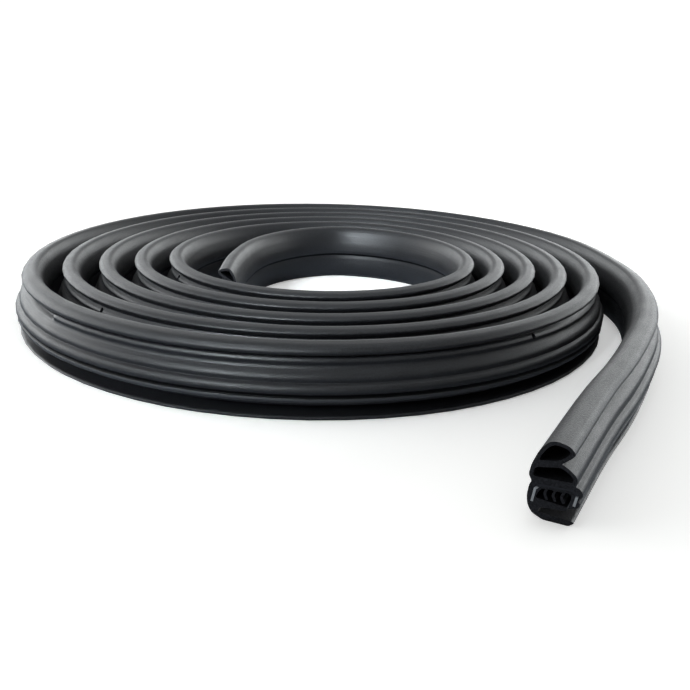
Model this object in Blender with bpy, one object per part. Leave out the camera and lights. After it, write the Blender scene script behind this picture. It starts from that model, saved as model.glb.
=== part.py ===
"""A coil of black rubber windshield seal with a steel carrier inside its channel.

One length of bulb seal stands on its foot lip and is wound flat into a coil, bulb up. The
section is drawn once, in a plane of its own: X runs to the outer side of the coil and Z up,
from the floor and from the middle of the seal. It is carried along the centre line of the
strip, which has three stretches: the straight inner end, the wound turns, and the loose end
that leaves the coil and lies free with its cut face to the front.
"""

import math

import bmesh
import bpy
from mathutils import Matrix, Vector
from mathutils.geometry import tessellate_polygon

MM = 0.001

# Section of the rubber: heights above the floor
SEAL_HEIGHT = 32.0 * MM
UPPER_TIP_HEIGHT = 28.3 * MM
GROOVE_HEIGHT = 23.8 * MM
LOWER_TIP_HEIGHT = 18.8 * MM
NECK_HEIGHT = 16.4 * MM
FLANK_HEIGHT = 13.2 * MM
FOOT_HEIGHT = 7.0 * MM
LIP_THICKNESS = 1.9 * MM

# Section of the rubber: reach from the middle line to the outer and to the inner side
UPPER_TIP_REACH = 6.9 * MM
GROOVE_REACH = 2.7 * MM
LOWER_TIP_REACH = 7.8 * MM
NECK_REACH = 7.3 * MM
FLANK_REACH = 9.7 * MM
LIP_REACH = 7.4 * MM
BACK_REACH = 7.8 * MM
BACK_NECK_REACH = 6.8 * MM
BACK_FLANK_REACH = 8.3 * MM

# Walls and clearances
BULB_WALL = 1.3 * MM
LEG_WALL = 2.6 * MM
FIN_THICKNESS = 1.6 * MM
FIN_GAP = 0.6 * MM
STEEL_THICKNESS = 0.8 * MM
STEEL_CLEARANCE = 0.3 * MM

# Coil: neighbouring turns press each other narrower, and their bulbs lean inwards
COIL_WIDTH_SHARE = 0.82
COIL_LEAN = 2.7 * MM
FIRST_RADIUS = 67.4 * MM
TURN_PITCH = 17.2 * MM
CENTRE_DRIFT = 1.5 * MM
CENTRED_TURN = 2.8
FIRST_TURN = 0.25
LAST_TURN = 5.375
STEPS_PER_TURN = 16
UNCOVERED_TURN = 4.5
UNCOVERED_STEPS = 4

# Centre line where the strip isn't wound, from the cut face of each end
INNER_END = [
    (-50.8 * MM, -38.5 * MM),
    (-49.9 * MM, -1.1 * MM),
    (-40.3 * MM, 39.4 * MM),
    (-21.7 * MM, 62.7 * MM),
]
LOOSE_END = [
    (147.2 * MM, 59.4 * MM),
    (161.0 * MM, 1.6 * MM),
    (162.7 * MM, -24.0 * MM),
    (160.2 * MM, -50.4 * MM),
    (154.5 * MM, -77.0 * MM),
    (146.2 * MM, -102.2 * MM),
    (132.9 * MM, -132.2 * MM),
    (119.9 * MM, -158.2 * MM),
    (104.7 * MM, -185.4 * MM),
    (80.1 * MM, -233.8 * MM),
]

# The loose end keeps the coil's width for its first points and has its free width by the last ones
LAID_POINTS = 2
STRAIGHT_POINTS = 3
CUT_SLANT = 7.6 * MM

# Vents through the groove between the bulbs, at even steps from the inner end
VENT_DIAMETER = 2.4 * MM
VENT_DEPTH = 6.5 * MM
FIRST_VENT = 467.3 * MM
VENT_SPACING = 667.4 * MM
VENT_SIDES = 8


def clear_scene():
    """Removes everything that the startup file holds."""
    for thing in list(bpy.data.objects):
        bpy.data.objects.remove(thing, do_unlink=True)


def material(name, colour, roughness, metallic):
    """A Principled material in one plain finish."""
    made = bpy.data.materials.new(name)
    made.use_nodes = True
    surface = made.node_tree.nodes["Principled BSDF"]
    surface.inputs["Base Color"].default_value = (*colour, 1.0)
    surface.inputs["Roughness"].default_value = roughness
    surface.inputs["Metallic"].default_value = metallic
    made.diffuse_color = (*colour, 1.0)
    return made


def upper_bulb_side():
    """Outer side of the upper bulb, from the crest down to the floor of the groove."""
    return [
        (1.0 * MM, SEAL_HEIGHT),
        (UPPER_TIP_REACH - 1.8 * MM, SEAL_HEIGHT - 1.2 * MM),
        (UPPER_TIP_REACH, UPPER_TIP_HEIGHT),
        (GROOVE_REACH, GROOVE_HEIGHT),
    ]


def lower_bulb_side():
    """Outer side of the lower bulb, from under the groove down to the neck."""
    return [
        (LOWER_TIP_REACH - 2.2 * MM, LOWER_TIP_HEIGHT + 3.0 * MM),
        (LOWER_TIP_REACH, LOWER_TIP_HEIGHT),
        (NECK_REACH, NECK_HEIGHT),
    ]


def channel_side():
    """Outer side of the channel: the flank, the groove under it and the rib of the foot."""
    foot_rib = FLANK_REACH - 0.8 * MM
    return [
        (FLANK_REACH - 0.6 * MM, FLANK_HEIGHT + 1.8 * MM),
        (FLANK_REACH, FLANK_HEIGHT),
        (FLANK_REACH - 0.5 * MM, FLANK_HEIGHT - 1.8 * MM),
        (FLANK_REACH - 1.3 * MM, FLANK_HEIGHT - 3.0 * MM),
        (foot_rib, FOOT_HEIGHT + 1.2 * MM),
        (foot_rib - 0.9 * MM, FOOT_HEIGHT),
    ]


def channel_inside():
    """Inside of the channel, from the outer foot over the crown to the root of the long fin."""
    crown = NECK_HEIGHT - LEG_WALL - 0.6 * MM
    outer_leg = FLANK_REACH - LEG_WALL - 0.9 * MM
    inner_leg = LEG_WALL - BACK_FLANK_REACH
    return [
        (outer_leg - 0.9 * MM, FOOT_HEIGHT),
        (outer_leg, crown - 1.0 * MM),
        (outer_leg - 1.4 * MM, crown),
        (inner_leg + 2.2 * MM, crown - 0.8 * MM),
        (inner_leg + 1.0 * MM, crown - 2.4 * MM),
        (inner_leg + 0.3 * MM, FOOT_HEIGHT + 0.8 * MM),
    ]


def long_fin():
    """The fin that closes the channel, round its free edge, and the hollow under it."""
    edge = FLANK_REACH - LEG_WALL - 1.8 * MM - FIN_GAP
    return [
        (edge, FOOT_HEIGHT + 0.4 * MM),
        (edge, FOOT_HEIGHT + 0.4 * MM - FIN_THICKNESS),
        (LEG_WALL + 1.6 * MM - BACK_FLANK_REACH, FOOT_HEIGHT - 2.6 * MM),
        (LEG_WALL + 1.4 * MM - BACK_FLANK_REACH, LIP_THICKNESS + 1.1 * MM),
    ]


def foot_lip():
    """The lip that the seal stands on, from its upper side round its edge to its flat sole."""
    return [
        (LIP_REACH - 0.8 * MM, LIP_THICKNESS),
        (LIP_REACH, LIP_THICKNESS * 0.6),
        (LIP_REACH - 1.8 * MM, 0.0),
        (-2.8 * MM, 0.0),
    ]


def channel_back():
    """Inner side of the channel, from the sole up to the neck."""
    return [
        (1.8 * MM - BACK_FLANK_REACH, 1.8 * MM),
        (0.3 * MM - BACK_FLANK_REACH, FOOT_HEIGHT - 2.2 * MM),
        (-BACK_FLANK_REACH, FOOT_HEIGHT + 1.6 * MM),
        (0.7 * MM - BACK_FLANK_REACH, FLANK_HEIGHT - 0.2 * MM),
        (-BACK_NECK_REACH, NECK_HEIGHT - 1.7 * MM),
    ]


def bulbs_back():
    """Smooth inner side of both bulbs, from the neck up to the crest."""
    return [
        (-BACK_REACH, NECK_HEIGHT + 1.2 * MM),
        (0.9 * MM - BACK_REACH, GROOVE_HEIGHT - 2.2 * MM),
        (3.1 * MM - BACK_REACH, SEAL_HEIGHT - 5.0 * MM),
        (4.7 * MM - BACK_REACH, SEAL_HEIGHT - 2.7 * MM),
        (6.6 * MM - BACK_REACH, SEAL_HEIGHT - 0.8 * MM),
    ]


def outline():
    """The rubber's outline, clockwise from the crest."""
    return (
        upper_bulb_side()
        + lower_bulb_side()
        + channel_side()
        + channel_inside()
        + long_fin()
        + foot_lip()
        + channel_back()
        + bulbs_back()
    )


def inset(points, distance):
    """A clockwise outline moved inwards by one wall, each edge parallel to where it was."""
    moved = []
    for index, point in enumerate(points):
        before = Vector(points[index - 1])
        here = Vector(point)
        after = Vector(points[(index + 1) % len(points)])
        first = (here - before).normalized()
        second = (after - here).normalized()
        normals = Vector((first.y, -first.x)), Vector((second.y, -second.x))
        middle = (normals[0] + normals[1]).normalized()
        moved.append(tuple(here + middle * distance / middle.dot(normals[0])))
    return moved


def upper_chamber():
    """Hollow of the upper bulb: what is left inside its wall."""
    back = bulbs_back()
    return inset(upper_bulb_side() + back[1:], BULB_WALL)


def lower_chamber():
    """Hollow of the lower bulb, over the crown of the channel."""
    back = bulbs_back()
    floor = [(-BACK_NECK_REACH, NECK_HEIGHT - 0.9 * MM)]
    return inset([upper_bulb_side()[-1]] + lower_bulb_side() + floor + back[:2], BULB_WALL)


def carrier_line():
    """Middle of the steel from the outer foot over the crown to the inner foot."""
    outer = FLANK_REACH - LEG_WALL / 2 - 0.5 * MM
    inner = LEG_WALL / 2 - BACK_FLANK_REACH + 0.4 * MM
    crown = NECK_HEIGHT - LEG_WALL / 2 - 0.5 * MM
    return [
        (outer - 0.8 * MM, FOOT_HEIGHT + 1.5 * MM),
        (outer - 0.1 * MM, crown - 1.6 * MM),
        (outer - 1.6 * MM, crown),
        (inner + 2.6 * MM, crown - 0.8 * MM),
        (inner + 1.0 * MM, crown - 2.6 * MM),
        (inner, FOOT_HEIGHT - 0.4 * MM),
    ]


def strip_round(line, half_width, beyond):
    """Outline of a strip of even width along a line, run on past both its ends."""
    points = [Vector(point) for point in line]
    points[0] = points[0] + (points[0] - points[1]).normalized() * beyond
    points[-1] = points[-1] + (points[-1] - points[-2]).normalized() * beyond
    sides = [], []
    for index, here in enumerate(points):
        first = here - points[index - 1] if index else points[1] - here
        second = points[index + 1] - here if index < len(points) - 1 else first
        normals = Vector((-first.y, first.x)).normalized(), Vector((-second.y, second.x)).normalized()
        middle = (normals[0] + normals[1]).normalized()
        step = middle * half_width / middle.dot(normals[0])
        sides[0].append(tuple(here + step))
        sides[1].append(tuple(here - step))
    return sides[0] + sides[1][::-1]


def wound_point(turn):
    """Centre line of the wound turns: an even spiral whose centre drifts to the front left."""
    angle = 2 * math.pi * turn
    radius = FIRST_RADIUS + TURN_PITCH * turn
    drift = CENTRE_DRIFT * (CENTRED_TURN - turn) * math.sqrt(0.5)
    return (drift - radius * math.cos(angle), drift + radius * math.sin(angle))


def centre_line():
    """Points of the centre line from the inner cut to the outer one."""
    count = round((LAST_TURN - FIRST_TURN) * STEPS_PER_TURN)
    wound = [wound_point(FIRST_TURN + step / STEPS_PER_TURN) for step in range(count + 1)]
    return [Vector(point) for point in INNER_END + wound + LOOSE_END]


def eased(value, start, end):
    """A smooth step from 0 at the start to 1 at the end."""
    part = min(max((value - start) / (end - start), 0.0), 1.0)
    return part * part * (3 - 2 * part)


def loosened(index, count):
    """How far the strip is free of the coil at one point of the centre line, from 0 to 1."""
    leaving = count - 1 - (len(LOOSE_END) - LAID_POINTS)
    return eased(index, leaving, count - 1 - STRAIGHT_POINTS)


def side_shares(index, count):
    """Width of the inner and of the outer side at one point, as shares of their free widths."""
    uncovered = len(INNER_END) + (UNCOVERED_TURN - FIRST_TURN) * STEPS_PER_TURN
    inner = loosened(index, count)
    outer = eased(index, uncovered, uncovered + UNCOVERED_STEPS)
    return [COIL_WIDTH_SHARE + (1.0 - COIL_WIDTH_SHARE) * free for free in (inner, outer)]


def stations():
    """Each place along the centre line, as coil_stations gives it, from the middle of the footprint."""
    found = coil_stations()
    corners = [spot(station, point) for station in found for point in outline()]
    low = Vector((min(corner.x for corner in corners), min(corner.y for corner in corners)))
    high = Vector((max(corner.x for corner in corners), max(corner.y for corner in corners)))
    middle = (low + high) / 2
    return [(here - middle, *rest) for here, *rest in found]


def coil_stations():
    """Each place's point, outward step, two side shares, lean and cut slant, from the coil's middle."""
    line = centre_line()
    found = []
    for index, here in enumerate(line):
        first = here - line[index - 1] if index else line[1] - here
        second = line[index + 1] - here if index < len(line) - 1 else first
        normals = Vector((-first.y, first.x)).normalized(), Vector((-second.y, second.x)).normalized()
        middle = (normals[0] + normals[1]).normalized()
        outward = middle / middle.dot(normals[0])
        lean = COIL_LEAN * (1.0 - loosened(index, len(line)))
        slant = first.normalized() * CUT_SLANT if index == len(line) - 1 else Vector((0.0, 0.0))
        found.append((here, outward, side_shares(index, len(line)), lean, slant))
    return found


def spot(station, point):
    """Where a point of the section stands in the plan, at one place along the centre line."""
    here, outward, shares, lean, slant = station
    reach = point[0] * (shares[1] if point[0] > 0.0 else shares[0])
    leaning = lean * (FLANK_HEIGHT - point[1]) / SEAL_HEIGHT
    return here + outward * (reach + leaning) + slant * point[1] / SEAL_HEIGHT


def placed(station, point):
    """A point of the section at one place along the centre line."""
    flat = spot(station, point)
    return Vector((flat.x, flat.y, point[1]))


def swept(name, loops, finish):
    """One closed solid: the first loop carried along the centre line, the others cut out."""
    mesh = bpy.data.meshes.new(name)
    shape = bmesh.new()
    rings = []
    for station in stations():
        rings.append([[shape.verts.new(placed(station, point)) for point in loop] for loop in loops])
    for first, second in zip(rings, rings[1:]):
        for near, far in zip(first, second):
            for index in range(len(near)):
                other = (index + 1) % len(near)
                shape.faces.new((near[index], near[other], far[other], far[index]))
    flat_loops = [[Vector((point[0], point[1], 0.0)) for point in loop] for loop in loops]
    for ring in (rings[0], rings[-1]):
        corners = [vert for loop in ring for vert in loop]
        for triangle in tessellate_polygon(flat_loops):
            shape.faces.new([corners[index] for index in triangle])
    bmesh.ops.recalc_face_normals(shape, faces=shape.faces)
    shape.to_mesh(mesh)
    shape.free()
    mesh.materials.append(finish)
    made = bpy.data.objects.new(name, mesh)
    bpy.context.scene.collection.objects.link(made)
    return made


def vent_places():
    """Each vent's point on the centre line and the strip's direction there."""
    line = [station[0] for station in stations()]
    found = []
    ahead = FIRST_VENT
    for here, after in zip(line, line[1:]):
        step = after - here
        if ahead < step.length:
            found.append((here + step.normalized() * ahead, step.normalized()))
            ahead += VENT_SPACING
        ahead -= step.length
    return found


def vent_cutter(body):
    """Cuts the round vents from the groove into the upper chamber."""
    shape = bmesh.new()
    for middle, along in vent_places():
        outward = Vector((-along.y, along.x, 0.0))
        start = GROOVE_REACH + 1.5 * MM - VENT_DEPTH / 2
        centre = Vector((middle.x, middle.y, GROOVE_HEIGHT)) + outward * start
        turn = Vector((0.0, 0.0, 1.0)).rotation_difference(outward).to_matrix().to_4x4()
        bmesh.ops.create_cone(
            shape,
            cap_ends=True,
            segments=VENT_SIDES,
            radius1=VENT_DIAMETER / 2,
            radius2=VENT_DIAMETER / 2,
            depth=VENT_DEPTH,
            matrix=Matrix.Translation(centre) @ turn,
        )
    mesh = bpy.data.meshes.new("vent_cutter")
    shape.to_mesh(mesh)
    shape.free()
    cutter = bpy.data.objects.new("vent_cutter", mesh)
    bpy.context.scene.collection.objects.link(cutter)
    cutter.hide_render = True
    cutter.display_type = "WIRE"
    cut = body.modifiers.new("vents", "BOOLEAN")
    cut.operation = "DIFFERENCE"
    cut.object = cutter


def build():
    """Makes the rubber and the steel inside it."""
    clear_scene()
    rubber = material("black_rubber", (0.018, 0.018, 0.020), 0.45, 0.0)
    steel = material("bright_steel", (0.62, 0.62, 0.60), 0.30, 1.0)
    slot = strip_round(carrier_line(), STEEL_THICKNESS / 2 + STEEL_CLEARANCE, STEEL_CLEARANCE)
    seal = swept("rubber_seal", [outline(), upper_chamber(), lower_chamber(), slot], rubber)
    vent_cutter(seal)
    swept("steel_carrier", [strip_round(carrier_line(), STEEL_THICKNESS / 2, 0.0)], steel)


build()
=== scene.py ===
"""A coil of black rubber windshield seal on a white floor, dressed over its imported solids.

The seal and its steel carrier are surfaces worked out with numpy: the section, a set of closed
loops with rounded corners, is carried along the strip's centre line. The section's X runs to the
outer side of the coil and Z up. Metres throughout, except for the section's corners, which are in
millimetres until they are rounded.
"""

import bmesh
import bpy
import numpy as np
from mathutils import Matrix, Vector
from mathutils.geometry import tessellate_polygon

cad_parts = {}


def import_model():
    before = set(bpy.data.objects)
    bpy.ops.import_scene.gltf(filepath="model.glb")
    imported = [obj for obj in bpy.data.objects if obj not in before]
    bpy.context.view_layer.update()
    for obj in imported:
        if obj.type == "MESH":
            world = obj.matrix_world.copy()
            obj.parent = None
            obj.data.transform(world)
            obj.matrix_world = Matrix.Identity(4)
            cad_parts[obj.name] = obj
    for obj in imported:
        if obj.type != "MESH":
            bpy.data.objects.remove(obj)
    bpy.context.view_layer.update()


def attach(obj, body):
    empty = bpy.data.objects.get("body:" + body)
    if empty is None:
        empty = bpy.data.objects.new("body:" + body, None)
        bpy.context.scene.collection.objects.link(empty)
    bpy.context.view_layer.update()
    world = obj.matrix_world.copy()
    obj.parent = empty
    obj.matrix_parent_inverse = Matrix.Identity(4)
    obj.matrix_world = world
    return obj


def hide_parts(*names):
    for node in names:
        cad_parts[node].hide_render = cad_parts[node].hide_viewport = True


MM = 0.001

# The strip's path, from the middle of the coil, in the same values as the solid
FOOTPRINT_MIDDLE = np.array([3.404, -38.964]) * MM
COIL_WIDTH_SHARE = 0.82
COIL_LEAN = 2.7 * MM
FIRST_RADIUS = 67.4 * MM
TURN_PITCH = 17.2 * MM
CENTRE_DRIFT = 1.5 * MM
CENTRED_TURN = 2.8
FIRST_TURN = 0.25
LAST_TURN = 5.375
STEPS_PER_TURN = 16
UNCOVERED_TURN = 4.5
UNCOVERED_STEPS = 4
INNER_END = np.array([[-50.8, -38.5], [-49.9, -1.1], [-40.3, 39.4], [-21.7, 62.7]]) * MM
LOOSE_END = (
    np.array(
        [
            [147.2, 59.4],
            [161.0, 1.6],
            [162.7, -24.0],
            [160.2, -50.4],
            [154.5, -77.0],
            [146.2, -102.2],
            [132.9, -132.2],
            [119.9, -158.2],
            [104.7, -185.4],
            [80.1, -233.8],
        ]
    )
    * MM
)
LAID_POINTS = 2
STRAIGHT_POINTS = 3
CUT_SLANT = 7.6 * MM

# Section
SEAL_HEIGHT = 32.0 * MM
FLANK_HEIGHT = 13.2 * MM
BULB_WALL = 1.3 * MM
STEEL_THICKNESS = 0.8 * MM
STEEL_CLEARANCE = 0.06 * MM
STATES = ("free", "pressed", "covered")

# In millimetres, as the corners: the fins' places in the channel, the corner of the lower
# chamber over the neck, and how much each edge of a chamber loses to its rounded corners
FIN_ROOTS = (3.6, 0.9, -1.8)
CHAMBER_FOOT = (-6.8, 15.5, 0.5)
CHAMBER_ROUNDING = 0.7

# Points on each rounded corner of the outline and of the chambers, and the largest share of an
# edge that one corner may take
OUTLINE_ARC_POINTS = 5
CHAMBER_ARC_POINTS = 2
LARGEST_CUT_SHARE = 0.48

# Edges sharper than this aren't shaded smooth
SHARP_ANGLE = np.radians(38.0)

# Rings that the section is carried by, and where the pressed groove ends in a tongue
RINGS_PER_STEP = 4
CUT_REACH = 24.0 * MM
TONGUE_TURN = 4.885
TONGUE_LENGTH = 4.0 * MM
TONGUE_RINGS = 8
GROOVE_FOOT = 22.4 * MM
GROOVE_TOP = 27.5 * MM
BULB_EASING = 90.0 * MM

# Vents through the groove between the bulbs
VENT_HEIGHT = 25.0 * MM
VENT_REACH = 4.4 * MM
VENT_DIAMETER = 2.4 * MM
VENT_DEPTH = 6.5 * MM
FIRST_VENT = 467.3 * MM
VENT_SPACING = 667.4 * MM
VENT_SIDES = 16

# Heights between which the painted highlight on the foot's rib, and the painted shade in the slit
# over it, begin and end
RIB_FOOT = (8.1 * MM, 8.7 * MM)
RIB_TOP = (10.0 * MM, 10.5 * MM)
SLIT_TOP = (11.7 * MM, 12.3 * MM)

# Heights between which the painted shade in the inner side's neck crease begins and ends
CREASE_FOOT = (14.6 * MM, 15.1 * MM)
CREASE_TOP = (15.7 * MM, 16.3 * MM)

# Way round the outline, from the crest, after which the inner side comes
WAY_TO_INNER_SIDE = 60.0 * MM

# Heights between which the rubber smeared over the cut steel sets in, and how uneven they are
SMEAR_FOOT = (12.6 * MM, 13.8 * MM)
SMEAR_UNEVENNESS = 1.2 * MM

# Noise scales, per metre, and the values between which the noise mostly stays
GRAIN_SCALE = 1700.0
MOTTLE_SCALE = 90.0
LINE_SCALE = 1500.0
LINE_STRETCH = 0.012
SMEAR_SCALE = 700.0
TONE_RANGE = (0.35, 0.65)
BUMP_STRENGTH = 0.7
BUMP_DEPTH = 0.16 * MM

# Colours
RUBBER_BLACK = (0.006, 0.006, 0.007, 1.0)
RUBBER_BLOOM = (0.015, 0.0155, 0.018, 1.0)
# Painted highlight: a lighter colour on the foot's rib, in place of the light that the rib catches
RIB_PAINTED_HIGHLIGHT = (0.03, 0.031, 0.034, 1.0)
# Painted shade: near black in the slit over the rib and in the neck's crease
SLIT_PAINTED_SHADE = (0.001, 0.001, 0.0012, 1.0)
CUT_BLACK = (0.004, 0.004, 0.005, 1.0)
CUT_GREY = (0.026, 0.026, 0.03, 1.0)
BRIGHT_STEEL = (0.78, 0.76, 0.72, 1.0)
SMEARED_STEEL = (0.06, 0.06, 0.065, 1.0)
WHITE = (1.0, 1.0, 1.0, 1.0)
FLOOR_WHITE = (0.94, 0.92, 0.89, 1.0)
ROOM_WHITE = (0.96, 0.99, 1.0, 1.0)

# The floor's edge length halved, its glow to the eye, and what it throws back as a light: two
# colours, and the places along X between which the left one gives way to the right one
FLOOR_HALF = 6.0
FLOOR_GLOW = 0.38
FLOOR_LIGHT_RIGHT = (0.36, 0.39, 0.44, 1.0)
FLOOR_LIGHT_LEFT = (0.86, 0.92, 1.0, 1.0)
FLOOR_LIGHT_EDGE = (-0.45, -0.12)

# Brightness of the surround as a light: everywhere, and added low behind, at the left and right
FRONT_LIGHT = 0.36
BACK_LIGHT = 0.38
LEFT_LIGHT = 2.8
RIGHT_LIGHT = 2.7

# Directions between which that light changes: to the left, to the right, behind and low
LEFT_EDGE = (-0.55, -0.05)
RIGHT_EDGE = (0.0, 0.4)
BEHIND_EDGE = (-0.25, 0.35)
LOW_EDGE = (0.25, 0.55)

# Brightness of the surround to the eye
SEEN_LIGHT = 1.1

# Soft lights: name, direction from the coil, distance, width, height, radiance and colour
PLAIN_LIGHT = (1.0, 1.0, 1.0)
COOL_LIGHT = (0.86, 0.94, 1.0)
SOFT_BOXES = (
    ("left_box", (-0.90, 0.18, 0.36), 1.3, 1.2, 0.8, 0.8, PLAIN_LIGHT),
    ("top_box", (0.15, -0.20, 0.95), 1.4, 0.4, 0.4, 1.6, COOL_LIGHT),
    ("streak_box", (-0.78, -0.39, 0.50), 1.4, 0.4, 0.4, 3.5, COOL_LIGHT),
)

# The spot on the inmost turn's far side
SPOT_AIM = Vector((20.0 * MM, 98.0 * MM, 26.0 * MM))
SPOT_DIRECTION = (-0.42, -0.76, 0.46)
SPOT_DISTANCE = 0.6
SPOT_POWER = 84.0
SPOT_SIZE = 0.14
SPOT_ANGLE = np.radians(17.0)

# Camera
LENS_MM = 46.96
CAMERA_PLACE = np.array([12.0, -491.3, 148.2]) * MM
CAMERA_DIP = np.radians(19.1)
CAMERA_ROLL = np.radians(1.34)


def upper_bulb_side(state):
    """Corners of the upper bulb's outer side: across, up and how much each edge loses to the round.

    The strip is "free" in its loose end, "pressed" on the coil's outside and "covered" inside it.
    """
    if state == "covered":
        flank = [(5.1, 31.4, 1.5), (6.8, 29.9, 0.8), (6.0, 28.7, 0.4), (3.2, 26.9, 0.3)]
        return [(0.9, 32.0, 2.2)] + flank
    if state == "pressed":
        flank = [(5.3, 31.3, 1.6), (7.0, 28.6, 0.8), (6.2, 27.2, 0.4), (3.8, 26.4, 0.3)]
        return [(0.9, 32.0, 2.2)] + flank
    flank = [(5.2, 31.0, 1.7), (7.0, 28.3, 0.9), (5.6, 26.6, 0.6), (2.7, 23.8, 0.3)]
    return [(0.9, 32.0, 2.4)] + flank


def groove(state):
    """Corners of the groove's lower face, which stands up as a ridge where the coil presses it."""
    if state == "covered":
        return [(4.0, 25.2, 0.4), (5.0, 24.0, 0.5), (4.6, 22.9, 0.5)]
    if state == "pressed":
        return [(5.4, 25.9, 0.4), (6.0, 24.5, 0.5), (5.0, 22.9, 0.5)]
    return [(3.3, 23.5, 0.2), (4.0, 23.1, 0.2), (4.6, 22.7, 0.2)]


def lower_bulb_side(state):
    """Corners of the lower bulb's outer side, from the groove down to the neck."""
    if state == "free":
        return [(5.5, 22.1, 1.0), (7.5, 20.2, 1.1), (7.9, 18.2, 0.8), (7.3, 16.3, 0.3)]
    return [(5.3, 21.6, 0.7), (7.2, 19.6, 1.1), (7.9, 18.0, 0.8), (7.3, 16.3, 0.3)]


def channel_side():
    """Corners of the channel's outer side: the flank, the slit under it and the foot's rib."""
    return [
        (8.8, 15.7, 0.5),
        (9.7, 14.2, 0.8),
        (9.6, 12.8, 0.5),
        (8.7, 11.8, 0.3),
        (8.25, 10.8, 0.2),
        (8.9, 10.1, 0.25),
        (8.8, 8.9, 0.3),
        (8.0, 8.1, 0.2),
    ]


def channel_inside():
    """Corners of the channel's inside: up the outer leg, over the crown with its fins, down."""
    fins = []
    for root in FIN_ROOTS:
        fins += [
            (root + 0.5, 13.0, 0.2),
            (root - 0.3, 11.0, 0.5),
            (root + 0.6, 8.7, 0.2),
            (root - 0.3, 8.5, 0.2),
            (root - 1.2, 10.9, 0.5),
            (root - 0.4, 12.9, 0.2),
        ]
    outer_leg = [(5.3, 7.0, 0.2), (6.2, 12.3, 0.5), (5.2, 13.3, 0.3)]
    inner_leg = [(-3.6, 12.4, 0.4), (-4.7, 10.8, 0.5), (-5.4, 8.4, 0.4)]
    return outer_leg + fins + inner_leg


def long_fin():
    """Corners of the fin that closes the channel, and of the hollow under it."""
    return [(4.9, 7.5, 0.5), (4.9, 6.1, 0.5), (-4.1, 4.9, 0.4), (-4.4, 2.9, 0.5)]


def foot_lip():
    """Corners of the lip that the seal stands on."""
    return [(6.6, 2.3, 0.4), (7.4, 1.6, 0.35), (5.6, 0.0, 0.4), (-2.8, 0.0, 0.8)]


def channel_back():
    """Corners of the channel's inner side, from the sole up to the neck."""
    return [
        (-6.6, 1.9, 1.3),
        (-8.0, 4.9, 1.2),
        (-8.3, 8.6, 1.2),
        (-7.6, 13.0, 0.9),
        (-6.8, 14.8, 0.35),
    ]


def bulbs_back():
    """Corners of the smooth inner side of both bulbs, from the neck up to the crest."""
    return [
        (-7.8, 17.3, 0.9),
        (-6.9, 21.6, 1.4),
        (-4.7, 27.0, 1.4),
        (-3.1, 29.4, 0.9),
        (-1.3, 31.3, 0.8),
    ]


def steel_line():
    """Middle line of the steel, from the outer foot over the crown to the inner foot."""
    outer_leg = [[7.0, 8.5], [7.9, 12.9], [6.3, 14.6]]
    inner_leg = [[-4.0, 13.8], [-5.6, 12.0], [-6.6, 6.6]]
    return np.array(outer_leg + inner_leg) * MM


def rounded(corners, steps):
    """The corners in metres, each of them rounded by an arc with this many points.

    Each corner is cut back along both its edges, and the cut is bridged by the parabola that
    touches the edges at its ends: (1-s)^2 start + 2s(1-s) corner + s^2 end.
    """
    table = np.array(corners) * MM
    here = table[:, :2]
    before = np.roll(here, 1, axis=0) - here
    after = np.roll(here, -1, axis=0) - here
    lengths = np.linalg.norm(before, axis=1), np.linalg.norm(after, axis=1)
    cut = np.minimum(table[:, 2], LARGEST_CUT_SHARE * np.minimum(*lengths))[:, None]
    start = here + before / lengths[0][:, None] * cut
    end = here + after / lengths[1][:, None] * cut
    s = np.linspace(0.0, 1.0, steps)[None, :, None]
    return (1 - s) ** 2 * start[:, None] + 2 * s * (1 - s) * here[:, None] + s**2 * end[:, None]


def mitred(first, second, reach):
    """The steps to the left from points where two edges meet that move both edges by the reach."""
    normals = []
    for edge in (first, second):
        left = np.stack([-edge[:, 1], edge[:, 0]], 1)
        normals.append(left / np.linalg.norm(edge, axis=1)[:, None])
    middle = normals[0] + normals[1]
    middle /= np.linalg.norm(middle, axis=1)[:, None]
    return middle * (reach / (middle * normals[0]).sum(1))[:, None]


def inset(corners, wall):
    """The same corners moved inwards by one wall, each edge staying parallel to where it was."""
    here = np.array(corners)[:, :2]
    before = here - np.roll(here, 1, axis=0)
    after = np.roll(here, -1, axis=0) - here
    return [(x, z, CHAMBER_ROUNDING) for x, z in here - mitred(before, after, wall)]


def band(line, half_width):
    """Outline of a strip of even width along a line: the line stepped to both sides of itself."""
    before = np.diff(line, axis=0, prepend=2 * line[:1] - line[1:2])
    after = np.diff(line, axis=0, append=2 * line[-1:] - line[-2:-1])
    side = mitred(before, after, half_width)
    return np.concatenate([line + side, (line - side)[::-1]])


def outline(state):
    """The rubber's outline, with fewer points at the small corners.

    A corner of the bulbs has five points, one of the channel, the fin or the foot has three, and
    one inside the channel has two.
    """
    stretches = (
        (upper_bulb_side(state) + groove(state) + lower_bulb_side(state), 1),
        (channel_side(), 2),
        (channel_inside(), 4),
        (long_fin() + foot_lip() + channel_back(), 2),
        (bulbs_back(), 1),
    )
    corners = [corner for stretch, step in stretches for corner in stretch]
    arcs = rounded(corners, OUTLINE_ARC_POINTS)
    kept = []
    start = 0
    for stretch, step in stretches:
        end = start + len(stretch)
        kept.append(arcs[start:end, ::step].reshape(-1, 2))
        start = end
    return np.concatenate(kept)


def rubber_loops(state):
    """The section's loops: the outline, the two chambers and the slot that the steel lies in."""
    back = bulbs_back()
    wall = BULB_WALL / MM
    upper_side = upper_bulb_side(state)
    upper = inset(upper_side + back[1:], wall)
    lower = inset([upper_side[-1]] + lower_bulb_side(state) + [CHAMBER_FOOT] + back[:2], wall)
    chambers = [rounded(chamber, CHAMBER_ARC_POINTS).reshape(-1, 2) for chamber in (upper, lower)]
    slot = band(steel_line(), STEEL_THICKNESS / 2 + STEEL_CLEARANCE)
    return [outline(state), *chambers, slot]


def step_lengths(points):
    """The distance from each point of a line to the next."""
    return np.linalg.norm(np.diff(points, axis=0), axis=1)


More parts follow.
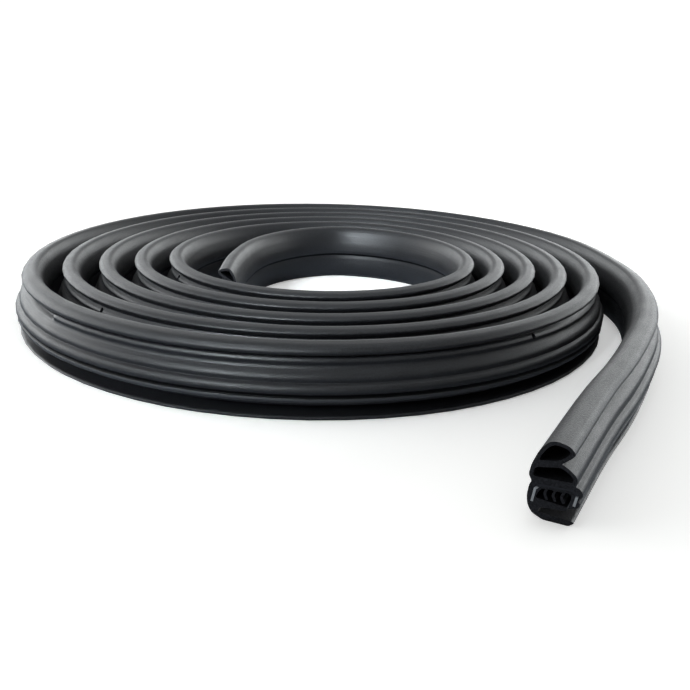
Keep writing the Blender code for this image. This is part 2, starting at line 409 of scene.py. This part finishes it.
def travelled(points):
    """The way along a line to each of its points."""
    return np.concatenate([[0.0], np.cumsum(step_lengths(points))])


def eased(value, start, end):
    """A smooth step from 0 at the start to 1 at the end: 3s^2 - 2s^3."""
    s = np.clip((value - start) / (end - start), 0.0, 1.0)
    return s**2 * (3 - 2 * s)


def path_corners():
    """Points of the centre line: the inner end, a spiral with a drifting centre, the loose end."""
    count = round((LAST_TURN - FIRST_TURN) * STEPS_PER_TURN)
    turn = FIRST_TURN + np.arange(count + 1) / STEPS_PER_TURN
    radius = FIRST_RADIUS + TURN_PITCH * turn
    drift = CENTRE_DRIFT * (CENTRED_TURN - turn) * np.sqrt(0.5)
    angle = 2 * np.pi * turn
    wound = np.stack([drift - radius * np.cos(angle), drift + radius * np.sin(angle)], 1)
    return np.concatenate([INNER_END, wound, LOOSE_END]) - FOOTPRINT_MIDDLE


def number_at(turn):
    """The place of a wound turn in the list of the centre line's points."""
    return len(INNER_END) + (turn - FIRST_TURN) * STEPS_PER_TURN


def ring_numbers(last):
    """Where the rings stand between the points: evenly, with a few more round the tongue."""
    even = np.linspace(0, last, last * RINGS_PER_STEP + 1)
    step = 2 * np.pi * (FIRST_RADIUS + TURN_PITCH * TONGUE_TURN) / STEPS_PER_TURN
    reach = TONGUE_LENGTH / step
    close = number_at(TONGUE_TURN) + np.linspace(0.0, reach, TONGUE_RINGS)
    apart = np.abs(even[:, None] - close[None, :]).min(axis=1) > 0.5 * reach / TONGUE_RINGS
    return np.sort(np.concatenate([even[apart], close]))


def centre_line():
    """The smooth centre line through its points, and each ring's number between the points.

    Every span is the cubic that leaves each of its two points along the line between that point's
    neighbours, with the spans' own lengths as its measure.
    """
    corners = path_corners()
    spans = step_lengths(corners)
    slopes = np.gradient(corners, travelled(corners), axis=0)
    number = ring_numbers(len(corners) - 1)
    low = np.minimum(number.astype(int), len(corners) - 2)
    s = (number - low)[:, None]
    length = spans[low][:, None]
    start, end, leave, arrive = corners[low], corners[low + 1], slopes[low], slopes[low + 1]
    points = (2 * s**3 - 3 * s**2 + 1) * start + (3 * s**2 - 2 * s**3) * end
    points += (s**3 - 2 * s**2 + s) * length * leave + (s**3 - s**2) * length * arrive
    tangent = (6 * s**2 - 6 * s) * (start - end) / length
    tangent += (3 * s**2 - 4 * s + 1) * leave + (3 * s**2 - 2 * s) * arrive
    tangent /= np.linalg.norm(tangent, axis=1)[:, None]
    return points, tangent, number


def uncovered(number):
    """How far the last turn's outer side is free of a further turn, from 0 to 1."""
    start = number_at(UNCOVERED_TURN)
    return eased(number, start, start + UNCOVERED_STEPS)[:, None]


def loosened(number):
    """How far the strip has opened to its free width on its way out of the coil, from 0 to 1."""
    leaving = number[-1] - (len(LOOSE_END) - LAID_POINTS)
    return eased(number, leaving, number[-1] - STRAIGHT_POINTS)[:, None]


def changing_section(number, along, free, pressed, covered):
    """Every ring's own section, from one state's loops to the next one's.

    The loops change from the covered ones to the pressed ones where the last turn begins to be
    the outermost, and to the free ones from the tongue on: quickly in the groove, slowly elsewhere.
    """
    bared = uncovered(number)[:, :, None]
    wound = np.concatenate(covered) * (1 - bared) + np.concatenate(pressed) * bared
    height = np.concatenate(free)[None, :, 1]
    in_groove = (height > GROOVE_FOOT) & (height < GROOVE_TOP)
    at_tongue = np.interp(number_at(TONGUE_TURN), number, along)
    quick = eased(along, at_tongue, at_tongue + TONGUE_LENGTH)[:, None]
    slow = eased(along, at_tongue, at_tongue + BULB_EASING)[:, None]
    opened = np.where(in_groove, quick, slow)[:, :, None]
    return wound * (1 - opened) + np.concatenate(free) * opened


def ring_points(section, points, tangent, number, along):
    """The place of every ring's points.

    Ring i, point j stands at line(i) + outward(i) * across(i, j) + tangent(i) * slant(i, j), at the
    height up(i, j). Across is the section's own reach times the width that the neighbouring turns
    leave to its side, plus the lean of the wound turns, which grows with the height over the flank.
    """
    outward = np.stack([-tangent[:, 1], tangent[:, 0]], 1)
    reach, height = section[:, :, 0], section[:, :, 1]
    inner_share = COIL_WIDTH_SHARE + (1.0 - COIL_WIDTH_SHARE) * loosened(number)
    outer_share = COIL_WIDTH_SHARE + (1.0 - COIL_WIDTH_SHARE) * uncovered(number)
    across = reach * np.where(reach > 0.0, outer_share, inner_share)
    across += COIL_LEAN * (1 - loosened(number)) * (FLANK_HEIGHT - height) / SEAL_HEIGHT
    near_cut = np.clip(1 - (along[-1] - along) / CUT_REACH, 0.0, 1.0)
    slant = CUT_SLANT * near_cut[:, None] * height / SEAL_HEIGHT
    flat = points[:, None] + outward[:, None] * across[:, :, None]
    flat = flat + tangent[:, None] * slant[:, :, None]
    return np.concatenate([flat, height[:, :, None]], axis=2).reshape(-1, 3)


def loop_edges(loops):
    """For each point of the loops: its number, the next one's, and the way round to both."""
    here, there, low, high = [], [], [], []
    start = 0
    for loop in loops:
        order = np.arange(len(loop))
        here.append(start + order)
        there.append(start + np.roll(order, -1))
        way = travelled(np.concatenate([loop, loop[:1]]))
        low.append(way[:-1])
        high.append(way[1:])
        start += len(loop)
    return [np.concatenate(part) for part in (here, there, low, high)]


def side_faces(loops, along):
    """The faces between the rings, and their corners' UV: way along the strip and way round."""
    here, there, low, high = loop_edges(loops)
    width = len(here)
    shape = (len(along) - 1, width)
    base = (np.arange(shape[0]) * width)[:, None]
    faces = np.stack([base + here, base + there, base + width + there, base + width + here], 2)
    ways = (along[:-1, None], along[1:, None], low, high)
    now, after, low, high = (np.broadcast_to(way, shape) for way in ways)
    corners = ((now, low), (now, high), (after, high), (after, low))
    uv = np.stack([np.stack(corner, 2) for corner in corners], 2)
    return faces.reshape(-1, 4), uv.reshape(-1, 2)


def carried(name, end_slot, free, pressed, covered):
    """A closed solid: every loop carried along the centre line, with both ends capped."""
    points, tangent, number = centre_line()
    along = travelled(points)
    section = changing_section(number, along, free, pressed, covered)
    vertices = ring_points(section, points, tangent, number, along)
    sides, side_uv = side_faces(free, along)
    width = section.shape[1]
    cap = np.array(tessellate_polygon([[Vector((x, z, 0.0)) for x, z in loop] for loop in free]))
    ends = np.concatenate([cap, cap + (len(number) - 1) * width])
    end_uv = section[-1][ends.reshape(-1) % width]
    mesh = bpy.data.meshes.new(name)
    mesh.from_pydata(vertices.tolist(), [], sides.tolist() + ends.tolist())
    layer = mesh.uv_layers.new(name="strip")
    layer.data.foreach_set("uv", np.concatenate([side_uv, end_uv]).astype(np.float32).ravel())
    is_end = np.arange(len(mesh.polygons)) >= len(sides)
    mesh.polygons.foreach_set("material_index", is_end.astype(np.int32) * end_slot)
    made = placed(name, mesh)
    face_outwards(made)
    mesh.shade_smooth()
    mesh.set_sharp_from_angle(angle=SHARP_ANGLE)
    return made


def placed(name, data):
    """A new object with this data, in the scene."""
    made = bpy.data.objects.new(name, data)
    bpy.context.scene.collection.objects.link(made)
    return made


def face_outwards(piece):
    """Turns the faces that point inwards, so that a closed solid has all of them outwards."""
    shape = bmesh.new()
    shape.from_mesh(piece.data)
    bmesh.ops.recalc_face_normals(shape, faces=shape.faces)
    shape.to_mesh(piece.data)
    shape.free()


def vent_cutter():
    """Round cutters from the groove into the upper bulb, at even steps from the inner end."""
    corners = path_corners()
    way = travelled(corners)
    places = np.arange(FIRST_VENT, way[-1], VENT_SPACING)
    points, tangent, number = centre_line()
    shape = bmesh.new()
    for place in np.interp(places, way, np.arange(len(corners))):
        x, y = (np.interp(place, number, points[:, axis]) for axis in (0, 1))
        along_x, along_y = (np.interp(place, number, tangent[:, axis]) for axis in (0, 1))
        outward = Vector((-along_y, along_x, 0.0)).normalized()
        middle = Vector((x, y, VENT_HEIGHT)) + outward * (VENT_REACH - VENT_DEPTH / 2)
        turn = Vector((0.0, 0.0, 1.0)).rotation_difference(outward).to_matrix().to_4x4()
        bmesh.ops.create_cone(
            shape,
            cap_ends=True,
            segments=VENT_SIDES,
            radius1=VENT_DIAMETER / 2,
            radius2=VENT_DIAMETER / 2,
            depth=VENT_DEPTH,
            matrix=Matrix.Translation(middle) @ turn,
        )
    mesh = bpy.data.meshes.new("vent_cutter")
    shape.to_mesh(mesh)
    shape.free()
    return placed("vent_cutter", mesh)


def cut_vents(piece):
    """Cuts the vents out of the rubber and keeps the result as its mesh."""
    cutter = vent_cutter()
    cut = piece.modifiers.new("vents", "BOOLEAN")
    cut.operation = "DIFFERENCE"
    cut.object = cutter
    seen = piece.evaluated_get(bpy.context.evaluated_depsgraph_get())
    piece.data = bpy.data.meshes.new_from_object(seen)
    piece.modifiers.clear()
    bpy.data.objects.remove(cutter, do_unlink=True)


def principled(name):
    """A new material, its node tree and its Principled shader."""
    made = bpy.data.materials.new(name)
    made.use_nodes = True
    tree = made.node_tree
    return made, tree, tree.nodes["Principled BSDF"]


def coordinates(tree, kind):
    """Texture coordinates of one kind."""
    return tree.nodes.new("ShaderNodeTexCoord").outputs[kind]


def strip_uv(tree):
    """The way along the strip and the way round its section."""
    made = tree.nodes.new("ShaderNodeUVMap")
    made.uv_map = "strip"
    return made.outputs["UV"]


def split(tree, vector):
    """A vector's three numbers, as the outputs X, Y and Z."""
    made = tree.nodes.new("ShaderNodeSeparateXYZ")
    tree.links.new(vector, made.inputs["Vector"])
    return made.outputs


def noise(tree, vector, scale, detail):
    """The value of a noise texture at one scale."""
    made = tree.nodes.new("ShaderNodeTexNoise")
    made.inputs["Scale"].default_value = scale
    made.inputs["Detail"].default_value = detail
    tree.links.new(vector, made.inputs["Vector"])
    return made.outputs["Fac"]


def calculated(tree, operation, *values):
    """The result of a math node on sockets and numbers."""
    made = tree.nodes.new("ShaderNodeMath")
    made.operation = operation
    for index, value in enumerate(values):
        if isinstance(value, (int, float)):
            made.inputs[index].default_value = value
        else:
            tree.links.new(value, made.inputs[index])
    return made.outputs["Value"]


def ranged(tree, value, from_low, from_high, low=0.0, high=1.0):
    """A value carried smoothly from one range to another."""
    made = tree.nodes.new("ShaderNodeMapRange")
    made.interpolation_type = "SMOOTHSTEP"
    for socket, number in zip(made.inputs[1:5], (from_low, from_high, low, high)):
        socket.default_value = number
    tree.links.new(value, made.inputs["Value"])
    return made.outputs["Result"]


def mixed(tree, factor, first, second):
    """A colour between two others, each of them a socket or four numbers."""
    made = tree.nodes.new("ShaderNodeMix")
    made.data_type = "RGBA"
    tree.links.new(factor, made.inputs["Factor"])
    for socket, colour in (("A", first), ("B", second)):
        if isinstance(colour, tuple):
            made.inputs[socket].default_value = colour
        else:
            tree.links.new(colour, made.inputs[socket])
    return made.outputs["Result"]


def seen_apart(tree, lighting, seen, output):
    """Shows one shader to the eye and lights the scene with another."""
    ray = tree.nodes.new("ShaderNodeLightPath")
    mix = tree.nodes.new("ShaderNodeMixShader")
    tree.links.new(ray.outputs["Is Camera Ray"], mix.inputs["Fac"])
    tree.links.new(lighting, mix.inputs[1])
    tree.links.new(seen, mix.inputs[2])
    tree.links.new(mix.outputs["Shader"], tree.nodes[output].inputs["Surface"])


def grain_group():
    """Shared effect: fine grain, soft mottling and faint lines drawn along the strip."""
    group = bpy.data.node_groups.new("extruded_grain", "ShaderNodeTree")
    group.interface.new_socket("Lines", in_out="INPUT", socket_type="NodeSocketFloat")
    group.interface.new_socket("Tone", in_out="OUTPUT", socket_type="NodeSocketFloat")
    group.interface.new_socket("Normal", in_out="OUTPUT", socket_type="NodeSocketVector")
    given = group.nodes.new("NodeGroupInput")
    place = coordinates(group, "Object")
    fine = noise(group, place, GRAIN_SCALE, 3.0)
    broad = noise(group, place, MOTTLE_SCALE, 4.0)
    stretched = group.nodes.new("ShaderNodeMapping")
    stretched.inputs["Scale"].default_value = (LINE_STRETCH, 1.0, 1.0)
    group.links.new(strip_uv(group), stretched.inputs["Vector"])
    drawn = noise(group, stretched.outputs["Vector"], LINE_SCALE, 2.0)
    lines = calculated(group, "MULTIPLY", drawn, given.outputs["Lines"])
    relief = calculated(group, "ADD", fine, lines)
    share = calculated(group, "MULTIPLY", broad, 0.2)
    mottled = calculated(group, "MULTIPLY_ADD", fine, 0.8, share)
    bump = group.nodes.new("ShaderNodeBump")
    bump.inputs["Strength"].default_value = BUMP_STRENGTH
    bump.inputs["Distance"].default_value = BUMP_DEPTH
    group.links.new(relief, bump.inputs["Height"])
    result = group.nodes.new("NodeGroupOutput")
    group.links.new(mottled, result.inputs["Tone"])
    group.links.new(bump.outputs["Normal"], result.inputs["Normal"])
    return group


def grained(tree, surface, group, lines):
    """Adds the shared grain to a material: its normal goes to the surface, its tone is returned."""
    made = tree.nodes.new("ShaderNodeGroup")
    made.node_tree = group
    made.inputs["Lines"].default_value = lines
    tree.links.new(made.outputs["Normal"], surface.inputs["Normal"])
    return made.outputs["Tone"]


def stripe(tree, height, foot, top, side):
    """1 between two heights on one side of the strip, and 0 elsewhere."""
    over = ranged(tree, height, *foot)
    under = ranged(tree, height, *top, 1.0, 0.0)
    return calculated(tree, "MULTIPLY", calculated(tree, "MULTIPLY", over, under), side)


def rubber_material(group):
    """Satin black extruded rubber: bloom, a painted highlight on the rib, painted shade in the slit
    and the crease.
    """
    made, tree, surface = principled("black_rubber")
    tone = grained(tree, surface, group, 0.6)
    surface.inputs["IOR"].default_value = 1.5
    tree.links.new(ranged(tree, tone, *TONE_RANGE, 0.33, 0.52), surface.inputs["Roughness"])
    bloom = mixed(tree, ranged(tree, tone, *TONE_RANGE), RUBBER_BLACK, RUBBER_BLOOM)
    height = split(tree, coordinates(tree, "Object"))["Z"]
    way_round = split(tree, strip_uv(tree))["Y"]
    inner_side = calculated(tree, "GREATER_THAN", way_round, WAY_TO_INNER_SIDE)
    outer_side = calculated(tree, "SUBTRACT", 1.0, inner_side)
    # Painted shade in the slit over the rib, on the outer side
    slit = stripe(tree, height, RIB_TOP, SLIT_TOP, outer_side)
    # Painted shade in the crease of the inner side's neck
    crease = stripe(tree, height, CREASE_FOOT, CREASE_TOP, inner_side)
    shaded = calculated(tree, "ADD", slit, crease)
    # Painted highlight: the rib of the foot is given a lighter colour
    over_foot = ranged(tree, height, *RIB_FOOT)
    on_rib = calculated(tree, "SUBTRACT", over_foot, ranged(tree, height, *RIB_TOP))
    rib_highlighted = mixed(tree, calculated(tree, "MULTIPLY", on_rib, outer_side), bloom, RIB_PAINTED_HIGHLIGHT)
    # Painted shade: the slit and the crease get near-black colour and little reflection
    tree.links.new(mixed(tree, shaded, rib_highlighted, SLIT_PAINTED_SHADE), surface.inputs["Base Color"])
    tree.links.new(ranged(tree, shaded, 0.0, 1.0, 0.5, 0.08), surface.inputs["Specular IOR Level"])
    return made


def cut_rubber_material(group):
    """The knife's face of the rubber: matte, with torn grain."""
    made, tree, surface = principled("cut_rubber")
    tone = grained(tree, surface, group, 0.0)
    surface.inputs["Roughness"].default_value = 0.75
    surface.inputs["Specular IOR Level"].default_value = 0.3
    torn = mixed(tree, ranged(tree, tone, *TONE_RANGE), CUT_BLACK, CUT_GREY)
    tree.links.new(torn, surface.inputs["Base Color"])
    return made


def steel_material():
    """Sheared steel: bright on the legs, smeared over with rubber along the crown."""
    made, tree, surface = principled("sheared_steel")
    place = coordinates(tree, "Object")
    uneven = noise(tree, place, SMEAR_SCALE, 3.0)
    height = calculated(tree, "MULTIPLY_ADD", uneven, SMEAR_UNEVENNESS, split(tree, place)["Z"])
    smeared = ranged(tree, height, *SMEAR_FOOT)
    colour = mixed(tree, smeared, BRIGHT_STEEL, SMEARED_STEEL)
    tree.links.new(colour, surface.inputs["Base Color"])
    tree.links.new(ranged(tree, smeared, 0.0, 1.0, 0.28, 0.6), surface.inputs["Roughness"])
    surface.inputs["Metallic"].default_value = 1.0
    return made


def white_floor():
    """A wide sheet under the coil: white to the eye. As a light it's dimmer, most at the right."""
    mesh = bpy.data.meshes.new("floor")
    half = FLOOR_HALF
    corners = [(-half, -half, 0.0), (half, -half, 0.0), (half, half, 0.0), (-half, half, 0.0)]
    mesh.from_pydata(corners, [], [(0, 1, 2, 3)])
    floor = placed("floor", mesh)
    made, tree, surface = principled("white_floor")
    surface.inputs["Base Color"].default_value = FLOOR_WHITE
    surface.inputs["Roughness"].default_value = 0.9
    surface.inputs["Specular IOR Level"].default_value = 0.0
    surface.inputs["Emission Color"].default_value = WHITE
    surface.inputs["Emission Strength"].default_value = FLOOR_GLOW
    dim = tree.nodes.new("ShaderNodeBsdfDiffuse")
    across = split(tree, coordinates(tree, "Object"))["X"]
    leftness = ranged(tree, across, *FLOOR_LIGHT_EDGE, 1.0, 0.0)
    tint = mixed(tree, leftness, FLOOR_LIGHT_RIGHT, FLOOR_LIGHT_LEFT)
    tree.links.new(tint, dim.inputs["Color"])
    seen_apart(tree, dim.outputs["BSDF"], surface.outputs["BSDF"], "Material Output")
    mesh.materials.append(made)


def white_room():
    """A pale surround: white to the eye. As a light it's dim in front and brighter low behind."""
    world = bpy.data.worlds.new("white_room")
    world.use_nodes = True
    tree = world.node_tree
    dim = tree.nodes["Background"]
    dim.inputs["Color"].default_value = ROOM_WHITE
    direction = split(tree, coordinates(tree, "Generated"))
    left = ranged(tree, direction["X"], *LEFT_EDGE, LEFT_LIGHT, 0.0)
    right = ranged(tree, direction["X"], *RIGHT_EDGE, 0.0, RIGHT_LIGHT)
    behind = ranged(tree, direction["Y"], *BEHIND_EDGE)
    low = ranged(tree, direction["Z"], *LOW_EDGE, 1.0, 0.0)
    both = calculated(tree, "ADD", left, right)
    sides = calculated(tree, "MULTIPLY_ADD", both, low, BACK_LIGHT)
    strength = calculated(tree, "MULTIPLY_ADD", behind, sides, FRONT_LIGHT)
    tree.links.new(strength, dim.inputs["Strength"])
    white = tree.nodes.new("ShaderNodeBackground")
    white.inputs["Color"].default_value = WHITE
    white.inputs["Strength"].default_value = SEEN_LIGHT
    seen_apart(tree, dim.outputs["Background"], white.outputs["Background"], "World Output")
    bpy.context.scene.world = world


def aimed(name, lamp, target, away):
    """A lamp at one step away from its target, turned to shine on it."""
    made = placed(name, lamp)
    made.location = target + away
    made.rotation_euler = (-away).to_track_quat("-Z", "Y").to_euler()
    return made


def soft_box(name, direction, distance, width, height, radiance, colour):
    """One large area light that shines on the coil from a direction, with an even radiance."""
    lamp = bpy.data.lights.new(name, "AREA")
    lamp.shape = "RECTANGLE"
    lamp.size = width
    lamp.size_y = height
    lamp.energy = radiance * np.pi * width * height
    lamp.color = colour
    made = aimed(name, lamp, Vector(), Vector(direction).normalized() * distance)
    made.visible_camera = False


def inner_spot():
    """A small soft spot from the upper left, on the inmost turn's far side only."""
    lamp = bpy.data.lights.new("inner_spot", "SPOT")
    lamp.energy = SPOT_POWER
    lamp.color = COOL_LIGHT
    lamp.shadow_soft_size = SPOT_SIZE
    lamp.spot_size = SPOT_ANGLE
    lamp.spot_blend = 1.0
    aimed("inner_spot", lamp, SPOT_AIM, Vector(SPOT_DIRECTION).normalized() * SPOT_DISTANCE)


def photo_camera():
    """The camera at the photograph's place, angle and slight roll."""
    lens = bpy.data.cameras.new("camera")
    lens.lens = LENS_MM
    lens.sensor_width = 36.0
    lens.clip_start = 0.01
    lens.clip_end = 50.0
    made = placed("camera", lens)
    made.location = (*(CAMERA_PLACE[:2] - FOOTPRINT_MIDDLE), CAMERA_PLACE[2])
    dip = Matrix.Rotation(np.pi / 2 - CAMERA_DIP, 4, "X")
    roll = Matrix.Rotation(CAMERA_ROLL, 4, "Z")
    made.rotation_euler = (dip @ roll).to_euler()
    bpy.context.scene.camera = made


def main():
    """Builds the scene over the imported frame."""
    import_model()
    bpy.context.scene.view_settings.view_transform = "Standard"
    photo_camera()
    seal = carried("rubber_strip", 1, *(rubber_loops(state) for state in STATES))
    grain = grain_group()
    seal.data.materials.append(rubber_material(grain))
    seal.data.materials.append(cut_rubber_material(grain))
    cut_vents(seal)
    steel = [band(steel_line(), STEEL_THICKNESS / 2)]
    carrier = carried("steel_strip", 0, steel, steel, steel)
    carrier.data.materials.append(steel_material())
    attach(seal, "root")
    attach(carrier, "root")
    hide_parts("rubber_seal")
    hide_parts("steel_carrier")
    white_floor()
    white_room()
    for box in SOFT_BOXES:
        soft_box(*box)
    inner_spot()


main()
